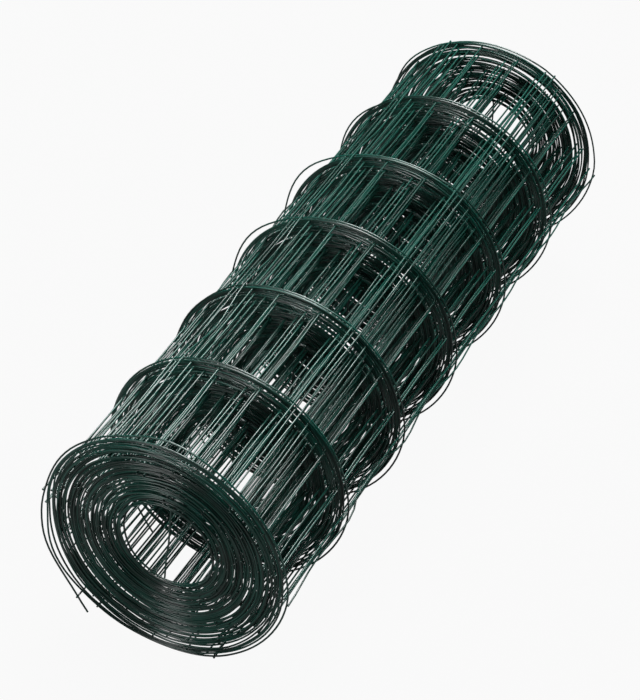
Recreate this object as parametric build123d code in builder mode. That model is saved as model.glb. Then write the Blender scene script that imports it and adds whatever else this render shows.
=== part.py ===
"""A roll of coated welded wire fencing, wound on itself and lying on its side along X.

The roll is one turned solid with its bore. The tight inner turns of the fencing make a drum, and the turns
of each line wire make a disc that stands out from it. The outer turns are loose, so their pickets cross the
bays from disc to disc, clear of the drum. Each end shows the turns of its line wire, with every other turn
standing back a little, round the open bore.
"""

import math
import os

from build123d import *

# The fencing, in millimetres
wire_diameter = 1.5
bay_count = 6
line_wire_spacing = 100.0
picket_spacing = 102.5
picket_overhang = 3.0

# The roll that it is wound into
roll_diameter = 198.0
bore_diameter = 72.0
turn_count = 24
turn_stagger = 2.0
line_disc_width = 5.0

# The loose turns outside the drum, from the outer end of the fencing inwards
loose_turn_count = 4
loose_turn_pitch = 3.6
outer_end_angle = 306.0
outer_stub = 20.0

# Sizes that follow
full_turn = 360.0
roll_radius = roll_diameter / 2
bore_radius = bore_diameter / 2
loose_depth = loose_turn_count * loose_turn_pitch
drum_radius = roll_radius - wire_diameter - loose_depth
half_span = bay_count * line_wire_spacing / 2
half_length = half_span + picket_overhang
half_disc = line_disc_width / 2
turn_pitch = (roll_radius - bore_radius) / turn_count


def end_turns(proud_x, back_x):
    """Points of one end, from the bore to the rim: every other turn stands proud, and the last has a flat."""
    points = [(back_x, bore_radius)]
    for turn in range(turn_count):
        turn_x = proud_x if (turn_count - turn) % 2 else back_x
        points.append((turn_x, bore_radius + turn_pitch * turn + turn_pitch / 2))
    points.append((points[-1][0], roll_radius))
    return points


def bay_outline(near_wire_x):
    """Points of one bay, from the disc at its near line wire, down to the drum, to the disc at its far one."""
    far_wire_x = near_wire_x + line_wire_spacing
    return [
        (near_wire_x + half_disc, roll_radius),
        (near_wire_x + half_disc, drum_radius),
        (far_wire_x - half_disc, drum_radius),
        (far_wire_x - half_disc, roll_radius),
    ]


def loose_pickets():
    """Places of the pickets of the loose turns, which close in on the drum without touching it."""
    places = []
    turned = math.degrees(outer_stub / roll_radius)
    while turned < loose_turn_count * full_turn:
        loose_share = turned / (loose_turn_count * full_turn)
        radius = roll_radius - wire_diameter - (loose_depth - wire_diameter) * loose_share
        round_axis = Location((0, 0, roll_radius), (outer_end_angle + turned, 0, 0))
        places.append(round_axis * Location((0, radius, 0)))
        turned += math.degrees(picket_spacing / radius)
    return places


roll_axis = Axis((0, 0, roll_radius), (1, 0, 0))
section_plane = Plane(origin=(0, 0, roll_radius), x_dir=(1, 0, 0), z_dir=(0, -1, 0))

near_end = end_turns(-half_length, turn_stagger - half_length)
far_end = end_turns(half_length, half_length - turn_stagger)
outside = []
for bay in range(bay_count):
    outside += bay_outline(bay * line_wire_spacing - half_span)

with BuildPart() as wire_mesh_roll:
    with BuildSketch(section_plane):
        with BuildLine():
            Polyline(*near_end, *outside, *reversed(far_end), close=True)
        make_face()
    revolve(axis=roll_axis)
    with Locations(*loose_pickets()):
        Box(bay_count * line_wire_spacing, wire_diameter, wire_diameter)

wire_mesh_roll.part.label = "wire_mesh_roll"
os.makedirs("parts", exist_ok=True)
export_step(wire_mesh_roll.part, "parts/wire_mesh_roll.step")
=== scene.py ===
"""A roll of green coated welded wire fencing, lying on its side along X, with its near end at -X.

Seven line wires wind inwards together, from a loose outer end low on one side to a flap that crosses the
bore. Straight pickets are welded across them, on the outside of each turn. One winding is traced first,
and the line wires, the pickets and the weld beads all follow it.
"""

import logging
import math
from dataclasses import dataclass, field
from enum import Enum

import bpy
import numpy as np
from bpy.types import GeometryNodeTree, ID, Material, Node, NodeSocket, NodeTree, Object
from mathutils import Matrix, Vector


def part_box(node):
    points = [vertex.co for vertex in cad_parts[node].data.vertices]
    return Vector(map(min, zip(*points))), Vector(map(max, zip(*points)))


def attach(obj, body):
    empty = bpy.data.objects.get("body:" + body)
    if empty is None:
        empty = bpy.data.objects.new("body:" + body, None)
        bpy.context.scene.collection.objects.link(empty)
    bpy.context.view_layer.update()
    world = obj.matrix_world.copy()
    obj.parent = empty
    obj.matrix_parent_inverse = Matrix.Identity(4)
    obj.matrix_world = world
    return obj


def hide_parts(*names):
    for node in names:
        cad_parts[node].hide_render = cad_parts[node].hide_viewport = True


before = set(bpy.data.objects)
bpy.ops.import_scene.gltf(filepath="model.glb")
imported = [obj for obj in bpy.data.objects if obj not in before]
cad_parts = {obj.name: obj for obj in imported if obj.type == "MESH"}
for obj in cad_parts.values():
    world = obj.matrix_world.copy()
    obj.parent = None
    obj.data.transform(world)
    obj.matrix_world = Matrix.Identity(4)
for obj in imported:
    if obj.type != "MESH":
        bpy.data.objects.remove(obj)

LOG = logging.getLogger("fencing_roll")
ROLL_NODE = "wire_mesh_roll"
ROLL_BODY = "root"
TONE_ATTRIBUTE = "tone"
RADIAL_ATTRIBUTE = "radial"

FULL_TURN = 360.0
HALF_TURN = 180.0
WHITE = (1.0, 1.0, 1.0, 1.0)
SPAN_NUDGE = 1e-9
RING_SEED_STEP = 101
SLIDE_SEED_STEP = 7
TONE_SEED = 300
WAVE_COUNT = 9
WAVE_HEIGHTS = (0.5, 1.0)
SIDE_CORNERS = 4

Colour = tuple[float, float, float, float]
Place = tuple[float, float, float]


class RingPlace(Enum):
    """Where a line wire runs: on an end of the roll, where it is free, or between two bays."""

    END = "end"
    BETWEEN = "between"


@dataclass(frozen=True)
class Slack:
    """How far a line wire strays between two pickets, in metres.

    Attributes:
        outer_bulge: In or out, on the outermost turn.
        inner_bulge: In or out, on the tight turns.
        sideways: Along the roll, on any turn.
    """

    outer_bulge: float
    inner_bulge: float
    sideways: float


SLACK = {
    RingPlace.END: Slack(outer_bulge=0.0011, inner_bulge=0.00020, sideways=0.0004),
    RingPlace.BETWEEN: Slack(outer_bulge=0.0006, inner_bulge=0.00012, sideways=0.0002),
}


@dataclass(frozen=True)
class Swell:
    """A place where the outer turns stand away from the roll or press into it, over several line wires.

    Attributes:
        along: Its middle along the roll, from -1 at the near end to 1 at the far end.
        along_width: Its reach along the roll, on the same scale.
        angle: Its middle round the roll, in degrees.
        angle_width: Its reach round the roll, in degrees.
        last_turn: The turn, from the outer end, at which it has died out.
        rise: How far it goes, in metres, below zero where it presses in.
    """

    along: float
    along_width: float
    angle: float
    angle_width: float
    last_turn: float
    rise: float


@dataclass(frozen=True)
class Gap:
    """A turn that lies loose inside the one before it.

    Attributes:
        turn: Which turn, from the outer end.
        share: Its weight in sharing out the room to spare.
    """

    turn: float
    share: float


@dataclass(frozen=True)
class Loop:
    """One span of one line wire that springs out between its two pickets.

    Attributes:
        ring: Which line wire, from the near end.
        span: Which span, from the outer end.
        rise: How far it springs out, in metres.
    """

    ring: int
    span: int
    rise: float


@dataclass(frozen=True)
class Bow:
    """One bay of one picket that is pressed in.

    Attributes:
        picket: Which picket, from the outer end.
        bay: Which bay, from the near end.
        depth: How far it is pressed in, in metres.
    """

    picket: int
    bay: int
    depth: float


@dataclass(frozen=True)
class Fencing:
    """The flat fencing before it is rolled, in metres."""

    wire_radius: float = 0.00072
    bays: int = 6
    picket_spacing: float = 0.10128
    end_margin: float = 0.003
    picket_overhang: float = 0.0006
    outer_stub: float = 0.0145
    inner_stub: float = 0.002
    weld_sink: float = 0.00012

    @property
    def rings(self) -> int:
        """The number of line wires."""
        return self.bays + 1

    @property
    def picket_lift(self) -> float:
        """How far a picket's centre stands outside its line wires."""
        return 2 * self.wire_radius - self.weld_sink


@dataclass
class Trace:
    """The winding in the roll's cross-section, one row for each step inwards from the outer end.

    Attributes:
        turn: Turns from the outer end.
        point: Place across (along Y) and above the roll's axis, in metres.
        outward: The unit vector square to the wire, away from the bore.
        picket_steps: The steps at which the pickets stand.
        free: How free the wire is, from 0 at a picket to 1 half-way between two.
        span: Which span between two pickets, from the outer end.
    """

    turn: np.ndarray
    point: np.ndarray
    outward: np.ndarray
    picket_steps: np.ndarray
    free: np.ndarray
    span: np.ndarray


@dataclass
class Winding:
    """Winds the fencing: the first turns are listed one by one, and the rest close up to the bore, with
    gaps.

    Places round the roll are in degrees from +Y towards +Z. Angles of the listed turns are in degrees of
    winding.
    Radii are shares of the roll's radius, waves are waves in a turn, and lengths are in metres.
    """

    fencing: Fencing
    roll_radius: float
    axis_height: float
    half_length: float
    turns: float = 58.4
    steps_per_turn: int = 90
    outer_angle: float = 305.8
    twist: float = 1.75
    seed: int = 11

    # The loose outer turns, listed one by one: the radius at each angle of each turn, and at their end
    hand_angles: tuple[float, ...] = (0, 39, 86, 118, 146, 176, 206, 242, 270, 299, 330)
    hand_turns: tuple[tuple[float, ...], ...] = (
        (1.045, 1.008, 0.992, 0.997, 0.992, 0.992, 1.004, 1.000, 0.985, 0.978, 0.975),
        (0.990, 0.997, 0.984, 0.988, 0.983, 0.981, 0.991, 0.964, 0.942, 0.955, 0.958),
        (0.970, 0.984, 0.975, 0.979, 0.974, 0.970, 0.978, 0.950, 0.930, 0.942, 0.945),
        (0.938, 0.948, 0.965, 0.969, 0.964, 0.957, 0.962, 0.937, 0.918, 0.929, 0.932),
        (0.917, 0.922, 0.950, 0.957, 0.950, 0.940, 0.946, 0.922, 0.904, 0.908, 0.905),
    )
    hand_end: float = 0.890
    hand_smoothing: float = 7.0
    hand_smoothing_reach: int = 21
    stub_flick: float = 0.085
    stub_flick_span: float = 30.0

    # The tight turns, down to an oval bore
    bore_share: float = 0.366
    bore_swing: float = 0.084
    bore_widest: float = 111.0
    looseness: float = 0.03
    loosening_waves: tuple[float, float] = (0.6, 4.7)
    tight_share: float = 0.60
    wire_stiffness: float = 1.0
    wire_stiffness_reach: int = 4
    gap_reach: float = 0.45
    gap_floor: float = 0.06
    gaps: tuple[Gap, ...] = (
        Gap(5.6, 0.8),
        Gap(15.5, 0.4),
        Gap(25.3, 0.4),
    )

    # How far a picket presses the turns beside it apart, as shares of the wire, from the nearest on
    lifts: tuple[float, ...] = (0.5, 0.26, 0.12)
    lift_reach: float = 0.008
    lift_start: float = 0.7
    lift_ease: float = 0.3

    # The flap of the inner end, bent across the bore
    flap_share: float = 0.27
    flap_angle: float = 268.9
    flap_bend: float = 0.009
    flap_corner: float = 0.6
    flap_bend_steps: int = 6
    flap_steps: int = 14

    # How the turns have slid along the roll, and how much of it each turn and the upper half take
    telescope: float = 0.0007
    telescope_waves: tuple[float, float] = (0.3, 1.1)
    side_step: float = 0.0008
    side_step_waves: float = 0.47
    side_step_sharpness: float = 1.6
    side_drift: float = 0.0012
    side_drift_waves: float = 0.31
    side_drift_phase: float = 1.3
    upper_spread: float = 0.7
    loose_turns: tuple[float, float, float, float] = (3.5, 7.5, 12.0, 18.0)
    loose_shares: tuple[float, float, float, float] = (0.25, 1.0, 1.0, 0.85)

    # Slack in single places
    slack_depth: float = 3.0
    swell_ease: float = 0.5
    swells: tuple[Swell, ...] = (
        Swell(1.0, 0.35, 162.0, 40.0, 1.4, 0.0020),
        Swell(0.25, 0.30, 15.0, 22.0, 1.2, 0.0040),
        Swell(-1.0, 0.25, 92.0, 18.0, 1.0, 0.0025),
        Swell(1.0, 0.30, 15.0, 42.0, 1.0, -0.0042),
        Swell(-1.0, 0.20, 354.0, 24.0, 0.9, 0.0032),
        Swell(-1.0, 0.20, 354.0, 24.0, 4.2, -0.0012),
        Swell(-1.0, 0.20, 354.0, 24.0, 8.0, -0.0012),
    )
    loops: tuple[Loop, ...] = (
        Loop(0, 6, 0.0050),
        Loop(0, 0, 0.0036),
        Loop(0, 2, 0.0032),
        Loop(3, 1, 0.0040),
        Loop(4, 1, 0.0052),
        Loop(5, 7, 0.0034),
        Loop(6, 1, 0.0040),
    )

    def trace(self) -> Trace:
        """Traces the winding from the outer end to the end of the flap in the bore.

        Returns:
            The traced winding, with the steps at which its pickets stand.
        """
        step = math.radians(FULL_TURN / self.steps_per_turn)
        count = round(self.turns * self.steps_per_turn) + 1
        turn = np.arange(count) / self.steps_per_turn
        angle = math.radians(self.outer_angle) + step * np.arange(count)
        radius = self._wind(turn, angle, step)
        flick = np.clip(1 - turn * FULL_TURN / self.stub_flick_span, 0, 1) ** 2 * self.stub_flick
        radius = radius + flick * self.roll_radius
        point = np.stack([radius * np.cos(angle), radius * np.sin(angle)], axis=1)
        point = self._add_flap(point)
        turn = np.concatenate([turn, np.full(len(point) - count, self.turns)])
        arc = np.concatenate([[0.0], np.cumsum(np.linalg.norm(np.diff(point, axis=0), axis=1))])
        return self._with_pickets(turn, point, arc)

    def _wind(self, turn: np.ndarray, angle: np.ndarray, step: float) -> np.ndarray:
        """Works out the radius of every step, each turn inside the one before it.

        Args:
            turn: Turns from the outer end, at every step.
            angle: World angle round the axis, at every step.
            step: The angle of one step, in radians.

        Returns:
            The radius at every step, in metres.
        """
        degrees, shares = self._hand_laid()
        wound = turn * FULL_TURN
        radius = np.interp(wound, degrees, shares) * self.roll_radius
        widest = math.radians(self.bore_widest)
        bore = (self.bore_share + self.bore_swing * np.cos(angle - widest)) * self.roll_radius
        loosening = np.exp(self.looseness * smooth_noise(turn, self.seed, *self.loosening_waves))
        room_share = self._room_share(turn)
        tight = self.tight_share * 2 * self.fencing.wire_radius
        for i in np.flatnonzero(wound >= degrees[-1]):
            over = radius[i - self.steps_per_turn]
            turns_left = self.turns - turn[i] + 1
            room = over - bore[i] - tight * turns_left
            pitch = tight + room * (room_share[i] if room > 0 else 1 / turns_left)
            radius[i] = over - pitch * loosening[i] ** min(1.0, turns_left - 1)
        radius = radius + self._lift(turn, np.cumsum(radius) * step)
        return smoothed(radius, self.wire_stiffness, self.wire_stiffness_reach)

    def _hand_laid(self) -> tuple[np.ndarray, np.ndarray]:
        """Reads the listed turns off, degree by degree.

        Returns:
            The degrees wound from the outer end, and the radius at each as a share of the roll's.
        """
        starts = FULL_TURN * np.arange(len(self.hand_turns))
        end = FULL_TURN * len(self.hand_turns)
        laid = np.append(np.add.outer(starts, self.hand_angles), end)
        shares = np.append(self.hand_turns, self.hand_end)
        degrees = np.arange(0, end + 1)
        shares = np.interp(degrees, laid, shares)
        return degrees, smoothed(shares, self.hand_smoothing, self.hand_smoothing_reach)

    def _lift(self, turn: np.ndarray, arc: np.ndarray) -> np.ndarray:
        """How far the pickets press the turns apart: those outside a picket out, and those inside it in.

        Args:
            turn: Turns from the outer end, at every step.
            arc: Length of wire from the outer end, at every step.

        Returns:
            The change of radius at every step, in metres.
        """
        spacing = self.fencing.picket_spacing
        nearest = (arc - self.fencing.outer_stub) / spacing
        away = (nearest - np.round(nearest)) * spacing
        inside = np.clip((turn - self.lift_start) / self.lift_ease, 0, 1)
        press = np.exp(-((away / self.lift_reach) ** 2)) * inside
        lift = np.zeros(len(turn))
        for turns_off, share in enumerate(self.lifts):
            height = share * 2 * self.fencing.wire_radius
            inwards = turns_off * self.steps_per_turn
            outwards = (turns_off + 1) * self.steps_per_turn
            lift[inwards:] -= height * press[: len(press) - inwards]
            lift[:-outwards] += height * press[outwards:]
        return lift

    def _room_share(self, turn: np.ndarray) -> np.ndarray:
        """How much of the room that is left at an angle each step takes up.

        Args:
            turn: Turns from the outer end, at every step.

        Returns:
            The share at every step, of what that step and the turns inside it have to spare.
        """
        weight = np.full(len(turn), self.gap_floor)
        for gap in self.gaps:
            weight += gap.share * np.exp(-(((turn - gap.turn) / self.gap_reach) ** 2))
        inside = weight.copy()
        for i in range(len(turn) - self.steps_per_turn - 1, -1, -1):
            inside[i] += inside[i + self.steps_per_turn]
        return weight / inside

    def _add_flap(self, point: np.ndarray) -> np.ndarray:
        """Bends the inner end across the bore, as the winder's slot left it.

        Args:
            point: The wound points, the last of which is at the bore.

        Returns:
            The points with the flap's bend and straight run added.
        """
        start = point[-1]
        along = point[-1] - point[-2]
        along /= np.linalg.norm(along)
        flap_angle = math.radians(self.flap_angle)
        tip = self.flap_share * self.roll_radius * np.array([math.cos(flap_angle), math.sin(flap_angle)])
        corner = start + along * self.flap_bend * self.flap_corner
        down = (tip - corner) / np.linalg.norm(tip - corner)
        landing = corner + down * self.flap_bend
        share = np.linspace(0, 1, self.flap_bend_steps + 1)[1:, None]
        bend = (1 - share) ** 2 * start + 2 * share * (1 - share) * corner + share**2 * landing
        share = np.linspace(0, 1, self.flap_steps + 1)[1:, None]
        return np.concatenate([point, bend, landing + share * (tip - landing)])

    @staticmethod
    def _outward(point: np.ndarray) -> np.ndarray:
        """Works out which way is out from the winding.

        Args:
            point: Points in the cross-section.

        Returns:
            The unit vectors square to the winding, away from the bore, at every point.
        """
        along = np.gradient(point, axis=0)
        square = np.stack([along[:, 1], -along[:, 0]], axis=1)
        return square / np.linalg.norm(square, axis=1, keepdims=True)

    def _with_pickets(self, turn: np.ndarray, point: np.ndarray, arc: np.ndarray) -> Trace:
        """Sets the pickets along the winding, and says how free each step is between them.

        Args:
            turn: Turns from the outer end.
            point: Points in the cross-section.
            arc: Length of wire from the outer end.

        Returns:
            The finished trace, with a step moved to each picket's own place.
        """
        fencing = self.fencing
        last = arc[-1] - fencing.inner_stub
        count = int((last - fencing.outer_stub) // fencing.picket_spacing) + 1
        places = fencing.outer_stub + fencing.picket_spacing * np.arange(count)
        LOG.info("wire %.3f m, pickets %d, left over %.4f m", arc[-1], count, last - places[-1])
        steps = np.searchsorted((arc[1:] + arc[:-1]) / 2, places)
        moved = [np.interp(places, arc, row) for row in (turn, point[:, 0], point[:, 1])]
        turn[steps] = moved[0]
        point[steps] = np.stack(moved[1:], axis=1)
        arc[steps] = places
        share = (arc - fencing.outer_stub) / fencing.picket_spacing
        free = np.where(share > 0, np.sin(np.pi * share) ** 2, 0.0)
        span = np.floor(share + SPAN_NUDGE).astype(int)
        return Trace(turn, point, self._outward(point), steps, free, span)

    def ring_along(self, ring: int) -> float:
        """Where a line wire is along the roll, from -1 at the near end to 1 at the far end."""
        return 2 * ring / self.fencing.bays - 1

    def ring_x(self, ring: int) -> float:
        """The place of a line wire along the roll, in metres."""
        half_span = self.half_length - self.fencing.end_margin
        return half_span * self.ring_along(ring)

    def ring_place(self, ring: int) -> RingPlace:
        """Whether a line wire is on an end of the roll."""
        return RingPlace.END if ring in (0, self.fencing.bays) else RingPlace.BETWEEN

    def line_wire(self, trace: Trace, ring: int) -> np.ndarray:
        """Lays one line wire along the winding.

        Args:
            trace: The traced winding.
            ring: Which line wire, from the near end.

        Returns:
            Its points in the part's frame, in metres.
        """
        rng = np.random.default_rng(self.seed + RING_SEED_STEP * ring)
        slack = SLACK[self.ring_place(ring)]
        spans = trace.span.max() + 2
        depth = np.clip(trace.turn / self.slack_depth, 0, 1)
        strength = slack.outer_bulge + (slack.inner_bulge - slack.outer_bulge) * depth
        bulge = rng.normal(0.0, 1.0, spans)[trace.span] * strength
        for loop in self.loops:
            if loop.ring == ring:
                bulge = np.where(trace.span == loop.span, loop.rise, bulge)
        sideways = rng.normal(0.0, slack.sideways, spans)[trace.span]
        out = bulge * trace.free + self._swell(trace, ring)
        point = trace.point + trace.outward * out[:, None]
        turned = self._twisted(point, ring)
        x = self.ring_x(ring) + self._telescope(trace) + sideways * trace.free
        z = np.maximum(turned[:, 1] + self.axis_height, self.fencing.wire_radius)
        return np.stack([x, turned[:, 0], z], axis=1)

    def _swell(self, trace: Trace, ring: int) -> np.ndarray:
        """Adds up the listed swells on one line wire.

        Args:
            trace: The traced winding.
            ring: Which line wire, from the near end.

        Returns:
            How far they push it out, at every step.
        """
        along = self.ring_along(ring)
        angle = np.degrees(np.arctan2(trace.point[:, 1], trace.point[:, 0]))
        out = np.zeros(len(trace.turn))
        for swell in self.swells:
            apart = (angle - swell.angle + HALF_TURN) % FULL_TURN - HALF_TURN
            round_share = np.exp(-((apart / swell.angle_width) ** 2))
            along_share = math.exp(-(((along - swell.along) / swell.along_width) ** 2))
            over = (swell.last_turn - trace.turn) / self.swell_ease
            out += swell.rise * along_share * round_share * np.clip(over, 0, 1)
        return out

    def _twisted(self, point: np.ndarray, ring: int) -> np.ndarray:
        """Turns points of the cross-section by the roll's twist.

        Args:
            point: The points, or one of them.
            ring: The line wire whose twist they get.

        Returns:
            The turned points.
        """
        turned = -math.radians(self.twist) * self.ring_along(ring)
        spin = np.array([[math.cos(turned), -math.sin(turned)], [math.sin(turned), math.cos(turned)]])
        return point @ spin.T

    def _telescope(self, trace: Trace) -> np.ndarray:
        """Works out how far each step has slid along the roll, the same for every line wire.

        Args:
            trace: The traced winding.

        Returns:
            The slide at every step, in metres.
        """
        turn = trace.turn
        loose = np.interp(turn, self.loose_turns, self.loose_shares)
        slid = self.telescope * smooth_noise(turn, self.seed + SLIDE_SEED_STEP, *self.telescope_waves)
        drift = np.sin(2 * math.pi * self.side_drift_waves * turn + self.side_drift_phase)
        step = self.side_step_sharpness * np.sin(2 * math.pi * self.side_step_waves * turn)
        spread = 1 + self.upper_spread * trace.point[:, 1] / np.linalg.norm(trace.point, axis=1)
        return loose * spread * (slid + self.side_drift * drift + self.side_step * np.clip(step, -1, 1))

    def outward_at(self, trace: Trace, step: int, ring: int) -> np.ndarray:
        """The unit vector away from the bore at one crossing, in the part's frame."""
        turned = self._twisted(trace.outward[step], ring)
        return np.array([0.0, turned[0], turned[1]])


def smooth_noise(turn: np.ndarray, seed: int, slowest: float, fastest: float) -> np.ndarray:
    """A smooth wander of about unit size that doesn't repeat from turn to turn.

    Args:
        turn: Turns from the outer end.
        seed: Seed of the wander.
        slowest: The fewest waves in one turn.
        fastest: The most waves in one turn.

    Returns:
        The wander at every step.
    """
    rng = np.random.default_rng(seed)
    waves = rng.uniform(slowest, fastest, WAVE_COUNT)
    phases = rng.uniform(0, 2 * math.pi, WAVE_COUNT)
    heights = rng.uniform(*WAVE_HEIGHTS, WAVE_COUNT)
    wander = sum(h * np.sin(2 * math.pi * w * turn + p) for w, p, h in zip(waves, phases, heights))
    return wander / math.sqrt(np.sum(heights**2) / 2)


def smoothed(values: np.ndarray, spread: float, reach: int) -> np.ndarray:
    """Smooths a row of values with a bell of weights.

    Args:
        values: The row.
        spread: The bell's spread, in steps.
        reach: How far the bell reaches to each side, in steps.

    Returns:
        The smoothed row, as long as before.
    """
    weights = np.exp(-0.5 * (np.arange(-reach, reach + 1) / spread) ** 2)
    padded = np.pad(values, reach, mode="edge")
    return np.convolve(padded, weights / weights.sum(), mode="valid")


def new_material(name: str) -> tuple[Material, Node]:
    """Starts a material.

    Args:
        name: Name of the material.

    Returns:
        The material and its shader.
    """
    material = bpy.data.materials.new(name)
    material.use_nodes = True
    return material, material.node_tree.nodes["Principled BSDF"]


def set_inputs(node: Node, values: dict[str, float | Colour]) -> None:
    """Sets inputs of a node, by name."""
    for name, value in values.items():
        node.inputs[name].default_value = value


def object_noise(tree: NodeTree, scale: float, detail: float) -> NodeSocket:
    """Adds a noise on Object coordinates.

    Args:
        tree: The material's tree.
        scale: Scale of the noise, in waves a metre.
        detail: Octaves of the noise.

    Returns:
        The noise's value.
    """
    place = tree.nodes.new("ShaderNodeTexCoord")
    noise = tree.nodes.new("ShaderNodeTexNoise")
    set_inputs(noise, {"Scale": scale, "Detail": detail})
    tree.links.new(place.outputs["Object"], noise.inputs["Vector"])
    return noise.outputs["Fac"]


def math_node(tree: NodeTree, operation: str) -> Node:
    """Adds a Math node.

    Args:
        tree: The tree of a material or of the world.
        operation: What it does with its two inputs.

    Returns:
        The node.
    """
    node = tree.nodes.new("ShaderNodeMath")
    node.operation = operation
    return node


def add_object(name: str, data: ID) -> Object:
    """Adds an object to the scene.

    Args:
        name: Name of the object.
        data: Its mesh, lamp or camera.

    Returns:
        The object, at the origin.
    """
    added = bpy.data.objects.new(name, data)
    bpy.context.scene.collection.objects.link(added)
    return added


def set_aimed(holder: Object, place: Place, aim: Place) -> None:
    """Puts a lamp or a camera in its place and points it.

    Args:
        holder: The object of the lamp or camera.
        place: Where it stands.
        aim: What it points at.
    """
    holder.location = place
    toward = Vector(aim) - Vector(place)
    holder.rotation_euler = toward.to_track_quat("-Z", "Y").to_euler()


@dataclass(frozen=True)
class CoatingFinish:
    """Dark green plastic coating on wire: satin, a little uneven, with pale scuffs."""

    name: str = "green_coating"
    deep: Colour = (0.002, 0.038, 0.027, 1.0)
    fresh: Colour = (0.006, 0.122, 0.088, 1.0)
    deep_below: float = 0.55
    cloud_scale: float = 38.0
    cloud_detail: float = 3.0
    scuff: Colour = (0.190, 0.225, 0.208, 1.0)
    scuff_scale: float = 420.0
    scuff_detail: float = 5.0
    scuff_from: float = 0.60
    scuff_full: float = 0.78
    scuff_most: float = 0.45
    ior: float = 1.45
    specular: float = 1.0
    coat: float = 1.0
    coat_roughness: float = 0.16
    smooth_roughness: float = 0.22
    worn_roughness: float = 0.42
    grain_scale: float = 1500.0
    grain_detail: float = 2.0
    bump_strength: float = 0.25
    bump_distance: float = 0.0002

    def build(self) -> Material:
        """Makes the material.

        Returns:
            The coating's material.
        """
        material, shader = new_material(self.name)
        tree = material.node_tree
        gloss = {
            "IOR": self.ior,
            "Specular IOR Level": self.specular,
            "Coat Weight": self.coat,
            "Coat Roughness": self.coat_roughness,
        }
        set_inputs(shader, gloss)
        scuffs = object_noise(tree, self.scuff_scale, self.scuff_detail)
        tree.links.new(self._worn(tree, self._shades(tree), scuffs), shader.inputs["Base Color"])
        roughness = tree.nodes.new("ShaderNodeMapRange")
        set_inputs(roughness, {"To Min": self.smooth_roughness, "To Max": self.worn_roughness})
        tree.links.new(scuffs, roughness.inputs["Value"])
        tree.links.new(roughness.outputs["Result"], shader.inputs["Roughness"])
        bump = tree.nodes.new("ShaderNodeBump")
        set_inputs(bump, {"Strength": self.bump_strength, "Distance": self.bump_distance})
        tree.links.new(object_noise(tree, self.grain_scale, self.grain_detail), bump.inputs["Height"])
        tree.links.new(bump.outputs["Normal"], shader.inputs["Normal"])
        return material

    def _shades(self, tree: NodeTree) -> NodeSocket:
        """Mixes the two greens, by the wire's own tone and a slow cloudiness.

        Args:
            tree: The material's tree.

        Returns:
            The mixed green.
        """
        tone = tree.nodes.new("ShaderNodeAttribute")
        tone.attribute_name = TONE_ATTRIBUTE
        mixed = math_node(tree, "ADD")
        tree.links.new(object_noise(tree, self.cloud_scale, self.cloud_detail), mixed.inputs[0])
        tree.links.new(tone.outputs["Fac"], mixed.inputs[1])
        colours = tree.nodes.new("ShaderNodeValToRGB")
        colours.color_ramp.elements[0].position = self.deep_below
        colours.color_ramp.elements[0].color = self.deep
        colours.color_ramp.elements[1].color = self.fresh
        tree.links.new(mixed.outputs["Value"], colours.inputs["Fac"])
        return colours.outputs["Color"]

    def _worn(
        self, tree: NodeTree, green: NodeSocket, scuffs: NodeSocket
    ) -> NodeSocket:
        """Lays pale scuffs over the green.

        Args:
            tree: The material's tree.
            green: The colour under the scuffs.
            scuffs: The noise that they follow.

        Returns:
            The scuffed colour.
        """
        scuffed = tree.nodes.new("ShaderNodeMapRange")
        bounds = {"From Min": self.scuff_from, "From Max": self.scuff_full, "To Max": self.scuff_most}
        set_inputs(scuffed, bounds)
        tree.links.new(scuffs, scuffed.inputs["Value"])
        worn = tree.nodes.new("ShaderNodeMix")
        worn.data_type = "RGBA"
        tree.links.new(scuffed.outputs["Result"], worn.inputs["Factor"])
        tree.links.new(green, worn.inputs["A"])
        worn.inputs["B"].default_value = self.scuff
        return worn.outputs["Result"]


@dataclass(frozen=True)
class CutEndFinish:
    """Bare zinc-grey steel where the wire was cut through its coating."""

    name: str = "cut_wire_end"
    bright: Colour = (0.105, 0.115, 0.110, 1.0)
    dull: Colour = (0.025, 0.035, 0.032, 1.0)
    metallic: float = 0.9
    roughness: float = 0.42
    grain_scale: float = 1800.0
    grain_detail: float = 2.0

    def build(self) -> Material:
        """Makes the material.

        Returns:
            The cut end's material.
        """
        material, shader = new_material(self.name)
        tree = material.node_tree
        set_inputs(shader, {"Metallic": self.metallic, "Roughness": self.roughness})
        colours = tree.nodes.new("ShaderNodeValToRGB")
        colours.color_ramp.elements[0].color = self.dull
        colours.color_ramp.elements[1].color = self.bright
        tree.links.new(object_noise(tree, self.grain_scale, self.grain_detail), colours.inputs["Fac"])
        tree.links.new(colours.outputs["Color"], shader.inputs["Base Color"])
        return material


def background_rays(tree: NodeTree, gloss: float) -> NodeSocket:
    """Says how much of the white background a ray sees.

    Args:
        tree: The tree of the floor's material or of the world.
        gloss: The share that a reflection on the coating sees.

    Returns:
        The socket with the share: all of it to the camera and through glass.
    """
    rays = tree.nodes.new("ShaderNodeLightPath")
    mirrored = math_node(tree, "MULTIPLY")
    mirrored.inputs[1].default_value = gloss
    tree.links.new(rays.outputs["Is Glossy Ray"], mirrored.inputs[0])
    direct = math_node(tree, "MAXIMUM")
    tree.links.new(rays.outputs["Is Camera Ray"], direct.inputs[0])
    tree.links.new(rays.outputs["Is Transmission Ray"], direct.inputs[1])
    either = math_node(tree, "MAXIMUM")
    tree.links.new(direct.outputs["Value"], either.inputs[0])
    tree.links.new(mirrored.outputs["Value"], either.inputs[1])
    return either.outputs["Value"]


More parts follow.
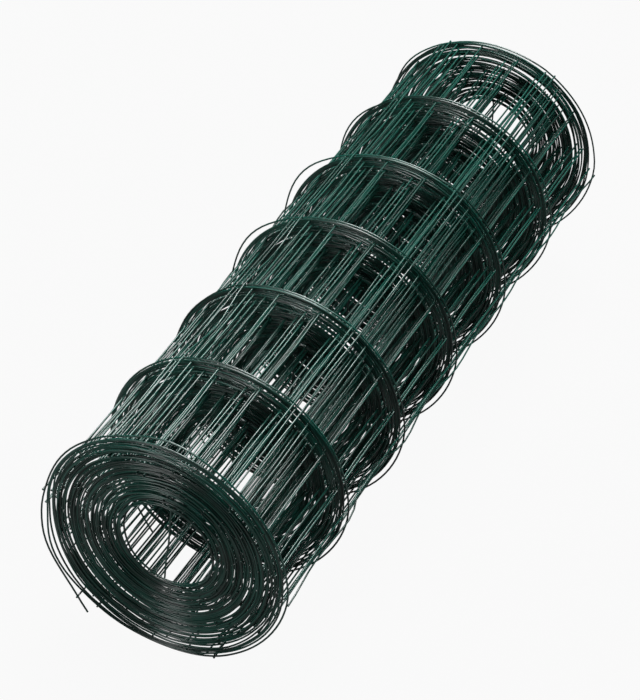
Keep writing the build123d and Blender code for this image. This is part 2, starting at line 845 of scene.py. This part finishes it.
@dataclass(frozen=True)
class FloorFinish:
    """A plain studio floor, white to the camera, that keeps the roll's shadow."""

    name: str = "studio_floor"
    tint: Colour = (0.18, 0.18, 0.18, 1.0)
    roughness: float = 0.9
    camera_glow: float = 0.94
    mirrored_glow: float = 0.012

    def build(self) -> Material:
        """Makes the material.

        Returns:
            The floor's material.
        """
        material, shader = new_material(self.name)
        tree = material.node_tree
        matt = {"Base Color": self.tint, "Roughness": self.roughness, "Specular IOR Level": 0.0}
        set_inputs(shader, matt)
        glow = tree.nodes.new("ShaderNodeEmission")
        glow.inputs["Color"].default_value = WHITE
        share = math_node(tree, "MULTIPLY")
        share.inputs[1].default_value = self.camera_glow
        tree.links.new(background_rays(tree, self.mirrored_glow), share.inputs[0])
        mixed = tree.nodes.new("ShaderNodeMixShader")
        tree.links.new(share.outputs["Value"], mixed.inputs["Fac"])
        tree.links.new(shader.outputs["BSDF"], mixed.inputs[1])
        tree.links.new(glow.outputs["Emission"], mixed.inputs[2])
        tree.links.new(mixed.outputs["Shader"], tree.nodes["Material Output"].inputs["Surface"])
        return material


def socket_identifiers(tree: GeometryNodeTree) -> dict[str, str]:
    """The identifiers of a tree's inputs, by name."""
    return {
        item.name: item.identifier
        for item in tree.interface.items_tree
        if item.item_type == "SOCKET" and item.in_out == "INPUT"
    }


def new_node_tree(name: str, inputs: dict[str, str]) -> GeometryNodeTree:
    """Starts a node tree that takes geometry and gives geometry back.

    Args:
        name: Name of the tree.
        inputs: The kind of each further input, by name.

    Returns:
        The tree, with its inputs and its output but no nodes.
    """
    tree = bpy.data.node_groups.new(name, "GeometryNodeTree")
    tree.interface.new_socket("Geometry", in_out="INPUT", socket_type="NodeSocketGeometry")
    for label, kind in inputs.items():
        tree.interface.new_socket(label, in_out="INPUT", socket_type=kind)
    tree.interface.new_socket("Geometry", in_out="OUTPUT", socket_type="NodeSocketGeometry")
    return tree


def nodes_to_mesh(
    piece: Object,
    tree: GeometryNodeTree,
    values: dict[str, int | float | Material],
) -> None:
    """Runs a node tree on a piece and keeps the result as a plain mesh.

    Args:
        piece: The object that holds the path or points.
        tree: The tree to run.
        values: The tree's inputs, by name.
    """
    modifier = piece.modifiers.new(tree.name, "NODES")
    modifier.node_group = tree
    identifiers = socket_identifiers(tree)
    for name, value in values.items():
        modifier[identifiers[name]] = value
    depsgraph = bpy.context.evaluated_depsgraph_get()
    evaluated = piece.evaluated_get(depsgraph)
    mesh = bpy.data.meshes.new_from_object(evaluated, preserve_all_data_layers=True, depsgraph=depsgraph)
    piece.modifiers.remove(modifier)
    piece.data = mesh
    mesh.name = piece.name


def path_object(name: str, paths: list[np.ndarray], tones: list[np.ndarray]) -> Object:
    """Makes an object of open paths, as edges.

    Args:
        name: Name of the piece.
        paths: The points of each path, in metres.
        tones: The tone at each point, for each path.

    Returns:
        The object, linked to the scene.
    """
    points = np.concatenate(paths)
    edges = []
    start = 0
    for path in paths:
        edges.extend((start + i, start + i + 1) for i in range(len(path) - 1))
        start += len(path)
    mesh = bpy.data.meshes.new(name)
    mesh.from_pydata(points.tolist(), edges, [])
    tone = mesh.attributes.new(TONE_ATTRIBUTE, "FLOAT", "POINT")
    tone.data.foreach_set("value", np.concatenate(tones).astype(np.float32))
    return add_object(name, mesh)


@dataclass
class WireSweep:
    """The node tree that draws round wire along paths and cuts it square at the ends."""

    wire_radius: float
    coating: Material
    cut_end: Material
    sides: int = 8

    def __post_init__(self) -> None:
        """Builds the tree."""
        inputs = {
            "Wire Radius": "NodeSocketFloat",
            "Sides": "NodeSocketInt",
            "Coating": "NodeSocketMaterial",
            "Cut End": "NodeSocketMaterial",
        }
        self.tree = new_node_tree("coated_wire_sweep", inputs)
        self._wire_up()

    def _wire_up(self) -> None:
        """Adds the nodes and links them."""
        nodes = self.tree.nodes
        links = self.tree.links
        given = nodes.new("NodeGroupInput")
        result = nodes.new("NodeGroupOutput")
        path = nodes.new("GeometryNodeMeshToCurve")
        links.new(given.outputs["Geometry"], path.inputs["Mesh"])
        section = nodes.new("GeometryNodeCurvePrimitiveCircle")
        links.new(given.outputs["Sides"], section.inputs["Resolution"])
        links.new(given.outputs["Wire Radius"], section.inputs["Radius"])
        sweep = nodes.new("GeometryNodeCurveToMesh")
        sweep.inputs["Fill Caps"].default_value = True
        links.new(path.outputs["Curve"], sweep.inputs["Curve"])
        links.new(section.outputs["Curve"], sweep.inputs["Profile Curve"])
        corners = nodes.new("GeometryNodeInputMeshFaceNeighbors")
        is_cap = nodes.new("FunctionNodeCompare")
        is_cap.data_type = "INT"
        is_cap.operation = "GREATER_THAN"
        links.new(corners.outputs["Vertex Count"], is_cap.inputs["A"])
        is_cap.inputs["B"].default_value = SIDE_CORNERS
        is_side = nodes.new("FunctionNodeBooleanMath")
        is_side.operation = "NOT"
        links.new(is_cap.outputs["Result"], is_side.inputs[0])
        smooth = nodes.new("GeometryNodeSetShadeSmooth")
        links.new(sweep.outputs["Mesh"], smooth.inputs["Geometry"])
        links.new(is_side.outputs["Boolean"], smooth.inputs["Shade Smooth"])
        real = nodes.new("GeometryNodeRealizeInstances")
        links.new(smooth.outputs["Geometry"], real.inputs["Geometry"])
        coat = nodes.new("GeometryNodeSetMaterial")
        links.new(real.outputs["Geometry"], coat.inputs["Geometry"])
        links.new(given.outputs["Coating"], coat.inputs["Material"])
        cut = nodes.new("GeometryNodeSetMaterial")
        links.new(coat.outputs["Geometry"], cut.inputs["Geometry"])
        links.new(is_cap.outputs["Result"], cut.inputs["Selection"])
        links.new(given.outputs["Cut End"], cut.inputs["Material"])
        links.new(cut.outputs["Geometry"], result.inputs["Geometry"])

    def apply(self, piece: Object) -> None:
        """Draws wire along a piece's paths.

        Args:
            piece: An object of open paths.
        """
        values = {
            "Wire Radius": self.wire_radius,
            "Sides": self.sides,
            "Coating": self.coating,
            "Cut End": self.cut_end,
        }
        nodes_to_mesh(piece, self.tree, values)


class BeadScatter:
    """The node tree that sets a weld bead on every crossing."""

    def __init__(self) -> None:
        """Builds the tree."""
        inputs = {
            "Bead Radius": "NodeSocketFloat",
            "Bead Height": "NodeSocketFloat",
            "Smallest": "NodeSocketFloat",
            "Largest": "NodeSocketFloat",
            "Seed": "NodeSocketInt",
            "Coating": "NodeSocketMaterial",
        }
        self.tree = new_node_tree("weld_bead_scatter", inputs)
        self._wire_up()

    def _wire_up(self) -> None:
        """Adds the nodes and links them."""
        nodes = self.tree.nodes
        links = self.tree.links
        given = nodes.new("NodeGroupInput")
        result = nodes.new("NodeGroupOutput")
        bead = nodes.new("GeometryNodeMeshIcoSphere")
        bead.inputs["Subdivisions"].default_value = 1
        links.new(given.outputs["Bead Radius"], bead.inputs["Radius"])
        stretch = nodes.new("ShaderNodeCombineXYZ")
        set_inputs(stretch, {"X": 1.0, "Y": 1.0})
        links.new(given.outputs["Bead Height"], stretch.inputs["Z"])
        size = nodes.new("FunctionNodeRandomValue")
        size.data_type = "FLOAT"
        links.new(given.outputs["Smallest"], size.inputs[2])
        links.new(given.outputs["Largest"], size.inputs[3])
        links.new(given.outputs["Seed"], size.inputs["Seed"])
        scale = nodes.new("ShaderNodeVectorMath")
        scale.operation = "SCALE"
        links.new(stretch.outputs["Vector"], scale.inputs[0])
        links.new(size.outputs[1], scale.inputs["Scale"])
        radial = nodes.new("GeometryNodeInputNamedAttribute")
        radial.data_type = "FLOAT_VECTOR"
        radial.inputs["Name"].default_value = RADIAL_ATTRIBUTE
        aim = nodes.new("FunctionNodeAlignRotationToVector")
        aim.axis = "Z"
        links.new(radial.outputs["Attribute"], aim.inputs["Vector"])
        scatter = nodes.new("GeometryNodeInstanceOnPoints")
        links.new(given.outputs["Geometry"], scatter.inputs["Points"])
        links.new(bead.outputs["Mesh"], scatter.inputs["Instance"])
        links.new(aim.outputs["Rotation"], scatter.inputs["Rotation"])
        links.new(scale.outputs["Vector"], scatter.inputs["Scale"])
        real = nodes.new("GeometryNodeRealizeInstances")
        links.new(scatter.outputs["Instances"], real.inputs["Geometry"])
        smooth = nodes.new("GeometryNodeSetShadeSmooth")
        links.new(real.outputs["Geometry"], smooth.inputs["Geometry"])
        coat = nodes.new("GeometryNodeSetMaterial")
        links.new(smooth.outputs["Geometry"], coat.inputs["Geometry"])
        links.new(given.outputs["Coating"], coat.inputs["Material"])
        links.new(coat.outputs["Geometry"], result.inputs["Geometry"])


def dress(piece: Object) -> None:
    """Sets a finished piece on the roll's body, in place of the CAD solid, which it hides.

    Args:
        piece: The finished piece.
    """
    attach(piece, ROLL_BODY)
    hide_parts(ROLL_NODE)
    LOG.info("%s: %d faces", piece.name, len(piece.data.polygons))


@dataclass
class LineWires:
    """The seven wires that run the length of the fencing and are wound into the roll."""

    winding: Winding
    trace: Trace
    tone_level: float = 0.24
    tone_swing: float = 0.19
    tone_waves: tuple[float, float] = (0.3, 3.0)
    runs: list[np.ndarray] = field(default_factory=list)
    pieces: list[Object] = field(default_factory=list)

    def build(self, sweep: WireSweep) -> None:
        """Draws every line wire.

        Args:
            sweep: The wire-drawing tree.
        """
        for ring in range(self.winding.fencing.rings):
            run = self.winding.line_wire(self.trace, ring)
            wander = smooth_noise(self.trace.turn, TONE_SEED + ring, *self.tone_waves)
            tone = self.tone_level + self.tone_swing * wander
            piece = path_object(f"line_wire_{ring + 1}", [run], [tone])
            sweep.apply(piece)
            self.runs.append(run)
            self.pieces.append(piece)

    def dress(self) -> None:
        """Sets every line wire on the roll's body."""
        for piece in self.pieces:
            dress(piece)


@dataclass
class Pickets:
    """The straight wires welded across the line wires, on the outside of their turn."""

    winding: Winding
    trace: Trace
    bay_steps: int = 8
    outer_bow: float = 0.0042
    inner_bow: float = 0.0006
    bow_depth: float = 7.0
    bow_spread: float = 0.28
    sway: float = 0.0005
    tone_level: float = 0.30
    tone_swing: float = 0.14
    seed: int = 29
    bows: tuple[Bow, ...] = (
        Bow(4, 1, 0.0110),
        Bow(4, 2, 0.0046),
    )
    piece: Object | None = None

    def build(self, runs: list[np.ndarray], sweep: WireSweep) -> None:
        """Draws every picket over the line wires that carry it.

        Args:
            runs: The points of each line wire.
            sweep: The wire-drawing tree.
        """
        rng = np.random.default_rng(self.seed)
        paths = []
        tones = []
        for number, step in enumerate(self.trace.picket_steps):
            path = self._picket(number, int(step), runs, rng)
            paths.append(path)
            tones.append(np.full(len(path), self.tone_level + self.tone_swing * rng.normal()))
        self.piece = path_object("pickets", paths, tones)
        sweep.apply(self.piece)

    def _picket(
        self, number: int, step: int, runs: list[np.ndarray], rng: np.random.Generator
    ) -> np.ndarray:
        """Lays one picket from end to end.

        Args:
            number: Which picket, from the outer end.
            step: The step of the winding where it is welded.
            runs: The points of each line wire.
            rng: The source of the small differences between pickets.

        Returns:
            The picket's points.
        """
        fencing = self.winding.fencing
        outward = [self.winding.outward_at(self.trace, step, ring) for ring in range(fencing.rings)]
        welds = [run[step] + out * fencing.picket_lift for run, out in zip(runs, outward)]
        share = np.linspace(0, 1, self.bay_steps + 1)[:-1, None]
        hump = (1 - np.cos(2 * np.pi * share)) / 2
        inner_share = min(1.0, number / self.bow_depth)
        bow = self.outer_bow + (self.inner_bow - self.outer_bow) * inner_share
        end = np.array([fencing.picket_overhang, 0.0, 0.0])
        path = [(welds[0] - end)[None]]
        for bay in range(fencing.bays):
            depth = bow * rng.normal(1.0, self.bow_spread)
            aside = rng.normal(0.0, self.sway)
            for pressed in self.bows:
                if pressed.picket == number and pressed.bay == bay:
                    depth = pressed.depth
            out = outward[bay]
            across = np.array([0.0, -out[2], out[1]])
            straight = welds[bay] + share * (welds[bay + 1] - welds[bay])
            path.append(straight - out * depth * hump + across * aside * hump)
        path.append(welds[-1][None])
        path.append((welds[-1] + end)[None])
        points = np.concatenate(path)
        points[:, 2] = np.maximum(points[:, 2], fencing.wire_radius)
        return points

    def dress(self) -> None:
        """Sets the pickets on the roll's body."""
        dress(self.piece)


@dataclass
class WeldBeads:
    """The small coated beads where a picket is welded to a line wire."""

    winding: Winding
    trace: Trace
    bead_radius: float = 0.00098
    bead_height: float = 1.15
    smallest: float = 0.88
    largest: float = 1.10
    tone_level: float = 0.25
    seed: int = 5
    piece: Object | None = None

    def build(self, runs: list[np.ndarray], scatter: BeadScatter, coating: Material) -> None:
        """Sets a bead on every crossing.

        Args:
            runs: The points of each line wire.
            scatter: The bead tree.
            coating: Material of the coating.
        """
        lift = self.winding.fencing.picket_lift / 2
        points = []
        radials = []
        for ring, run in enumerate(runs):
            for step in self.trace.picket_steps:
                out = self.winding.outward_at(self.trace, int(step), ring)
                points.append(run[step] + out * lift)
                radials.append(out)
        mesh = bpy.data.meshes.new("weld_beads")
        mesh.from_pydata([tuple(point) for point in points], [], [])
        radial = mesh.attributes.new(RADIAL_ATTRIBUTE, "FLOAT_VECTOR", "POINT")
        radial.data.foreach_set("vector", np.concatenate(radials).astype(np.float32))
        tone = mesh.attributes.new(TONE_ATTRIBUTE, "FLOAT", "POINT")
        tone.data.foreach_set("value", np.full(len(points), self.tone_level, dtype=np.float32))
        self.piece = add_object("weld_beads", mesh)
        values = {
            "Bead Radius": self.bead_radius,
            "Bead Height": self.bead_height,
            "Smallest": self.smallest,
            "Largest": self.largest,
            "Seed": self.seed,
            "Coating": coating,
        }
        nodes_to_mesh(self.piece, scatter.tree, values)

    def dress(self) -> None:
        """Sets the beads on the roll's body."""
        dress(self.piece)


@dataclass(frozen=True)
class SoftLight:
    """A square soft box, aimed at the roll."""

    name: str
    place: Place
    width: float
    power: float


@dataclass
class Studio:
    """The floor, the soft boxes and the white surroundings."""

    finish: FloorFinish = field(default_factory=FloorFinish)
    floor_half: float = 12.0
    aim: Place = (0.0, 0.0, 0.1)
    surround_light: float = 0.0024
    surround_gloss: float = 0.012
    lights: tuple[SoftLight, ...] = (
        SoftLight("top_box", (0.1, -0.1, 2.2), 0.9, 27.0),
        SoftLight("back_box", (0.95, 0.3, 1.75), 0.8, 27.0),
        SoftLight("front_box", (-1.3, 0.5, 0.5), 0.5, 3.0),
    )

    def build(self) -> None:
        """Makes the floor, the lights and the world."""
        half = self.floor_half
        corners = [(-half, -half, 0.0), (half, -half, 0.0), (half, half, 0.0), (-half, half, 0.0)]
        mesh = bpy.data.meshes.new("studio_floor")
        mesh.from_pydata(corners, [], [(0, 1, 2, 3)])
        mesh.materials.append(self.finish.build())
        floor = add_object("studio_floor", mesh)
        for light in self.lights:
            self._soft_box(light)
        self._surround()

    def _soft_box(self, light: SoftLight) -> None:
        """Hangs one soft box.

        Args:
            light: Its place, width and power.
        """
        lamp = bpy.data.lights.new(light.name, "AREA")
        lamp.shape = "SQUARE"
        lamp.size = light.width
        lamp.energy = light.power
        set_aimed(add_object(light.name, lamp), light.place, self.aim)

    def _surround(self) -> None:
        """Makes the world white to the camera, and a faint light to the roll."""
        world = bpy.data.worlds.new("white_surround")
        world.use_nodes = True
        bpy.context.scene.world = world
        tree = world.node_tree
        ground = tree.nodes["Background"]
        ground.inputs["Color"].default_value = WHITE
        strength = math_node(tree, "MAXIMUM")
        strength.inputs[1].default_value = self.surround_light
        tree.links.new(background_rays(tree, self.surround_gloss), strength.inputs[0])
        tree.links.new(strength.outputs["Value"], ground.inputs["Strength"])


@dataclass
class PhotoCamera:
    """The camera, at the photograph's place and angle."""

    place: Place = (-1.46506, -0.68717, 1.31825)
    aim: Place = (-0.03857, 0.00132, 0.099)
    focal_pixels: float = 2521.57
    image_height: float = 700.0
    sensor: float = 36.0
    nearest: float = 0.05
    farthest: float = 100.0

    def build(self) -> None:
        """Makes the camera and gives it to the scene."""
        camera = bpy.data.cameras.new("photo_camera")
        camera.sensor_fit = "AUTO"
        camera.sensor_width = self.sensor
        camera.lens = self.focal_pixels * self.sensor / self.image_height
        camera.clip_start = self.nearest
        camera.clip_end = self.farthest
        holder = add_object("photo_camera", camera)
        set_aimed(holder, self.place, self.aim)
        bpy.context.scene.camera = holder


def main() -> None:
    """Builds the roll, the studio and the camera, in order."""
    logging.basicConfig(level=logging.INFO, format="%(name)s %(message)s")
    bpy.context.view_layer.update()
    bpy.context.scene.view_settings.view_transform = "Standard"
    low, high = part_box(ROLL_NODE)
    winding = Winding(
        fencing=Fencing(),
        roll_radius=(high.z - low.z) / 2,
        axis_height=(high.z + low.z) / 2,
        half_length=(high.x - low.x) / 2,
    )
    trace = winding.trace()
    coating = CoatingFinish().build()
    sweep = WireSweep(winding.fencing.wire_radius, coating, CutEndFinish().build())

    line_wires = LineWires(winding, trace)
    line_wires.build(sweep)
    line_wires.dress()
    pickets = Pickets(winding, trace)
    pickets.build(line_wires.runs, sweep)
    pickets.dress()
    beads = WeldBeads(winding, trace)
    beads.build(line_wires.runs, BeadScatter(), coating)
    beads.dress()

    Studio().build()
    PhotoCamera().build()


if __name__ == "__main__":
    main()
